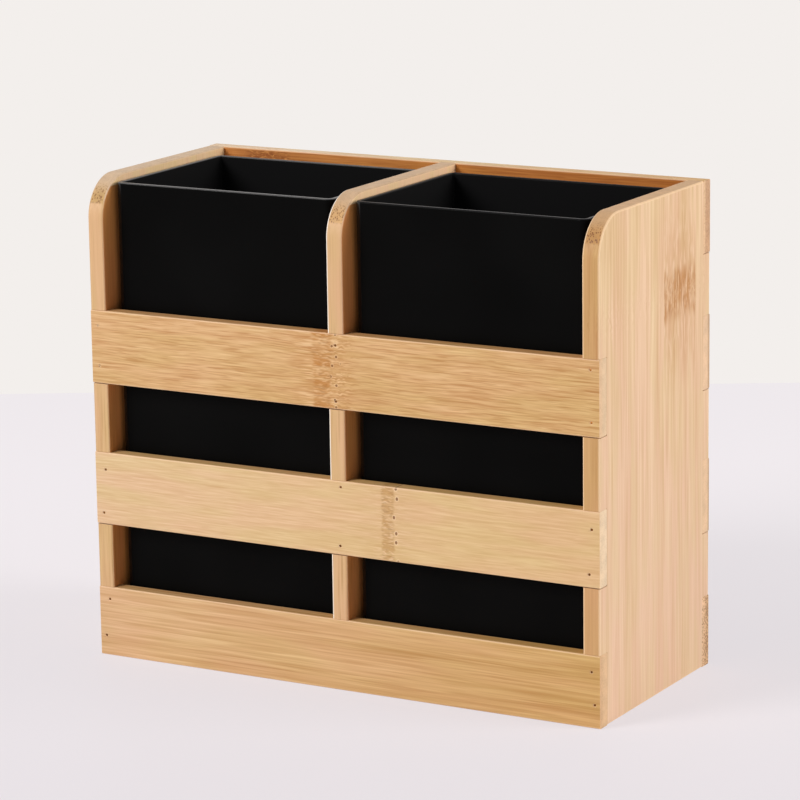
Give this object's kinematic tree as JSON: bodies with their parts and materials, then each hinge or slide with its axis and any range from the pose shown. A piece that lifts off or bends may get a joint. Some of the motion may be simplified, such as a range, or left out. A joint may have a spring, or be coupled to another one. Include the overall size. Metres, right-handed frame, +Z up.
{
  "type": "desk organizer",
  "caption": "Upright bamboo desk organizer: slatted frame with rounded side boards, a divider and lift-out black plastic bins side by side.",
  "frame": {"origin": "middle of the footprint on the desk, under the centre divider", "axes": "+X along the width to the right bin, +Y from the front to the back, +Z up; the front with the rounded top corners faces -Y"},
  "size_m": [0.22, 0.095, 0.191],
  "materials": {
    "bamboo": "clear satin lacquer over laminated bamboo",
    "bin_plastic": "satin-gloss black moulded plastic",
    "steel_brads": "plain wire nail, slightly dulled"
  },
  "bodies": {
    "frame": {"back_slat_1": "bamboo", "back_slat_2": "bamboo", "back_slat_3": "bamboo", "back_slat_4": "bamboo", "base_board": "bamboo", "center_divider": "bamboo", "front_slat_1": "bamboo", "front_slat_2": "bamboo", "front_slat_3": "bamboo", "left_side_panel": "bamboo", "right_side_panel": "bamboo", "brad_back_1_left_high": "steel_brads", "brad_back_1_left_low": "steel_brads", "brad_back_1_right_high": "steel_brads", "brad_back_1_right_low": "steel_brads", "brad_back_2_centre_high": "steel_brads", "brad_back_2_centre_low": "steel_brads", "brad_back_2_left_high": "steel_brads", "brad_back_2_left_low": "steel_brads", "brad_back_2_right_high": "steel_brads", "brad_back_2_right_low": "steel_brads", "brad_back_3_centre_high": "steel_brads", "brad_back_3_centre_low": "steel_brads", "brad_back_3_left_high": "steel_brads", "brad_back_3_left_low": "steel_brads", "brad_back_3_right_high": "steel_brads", "brad_back_3_right_low": "steel_brads", "brad_back_4_centre_high": "steel_brads", "brad_back_4_centre_low": "steel_brads", "brad_back_4_left_high": "steel_brads", "brad_back_4_left_low": "steel_brads", "brad_back_4_right_high": "steel_brads", "brad_back_4_right_low": "steel_brads", "brad_front_1_left_high": "steel_brads", "brad_front_1_left_low": "steel_brads", "brad_front_1_right_high": "steel_brads", "brad_front_1_right_low": "steel_brads", "brad_front_2_centre_high": "steel_brads", "brad_front_2_centre_low": "steel_brads", "brad_front_2_left_high": "steel_brads", "brad_front_2_left_low": "steel_brads", "brad_front_2_right_high": "steel_brads", "brad_front_2_right_low": "steel_brads", "brad_front_3_centre_high": "steel_brads", "brad_front_3_centre_low": "steel_brads", "brad_front_3_left_high": "steel_brads", "brad_front_3_left_low": "steel_brads", "brad_front_3_right_high": "steel_brads", "brad_front_3_right_low": "steel_brads"},
    "left_bin": {"left_bin": "bin_plastic"},
    "right_bin": {"right_bin": "bin_plastic"}
  },
  "joints": [
    {"name": "left_bin_lift", "type": "slide", "parent": "frame", "child": "left_bin", "axis": [0, 0, 1], "range_m": [0, 0.19]},
    {"name": "right_bin_lift", "type": "slide", "parent": "frame", "child": "right_bin", "axis": [0, 0, 1], "range_m": [0, 0.19]}
  ]
}
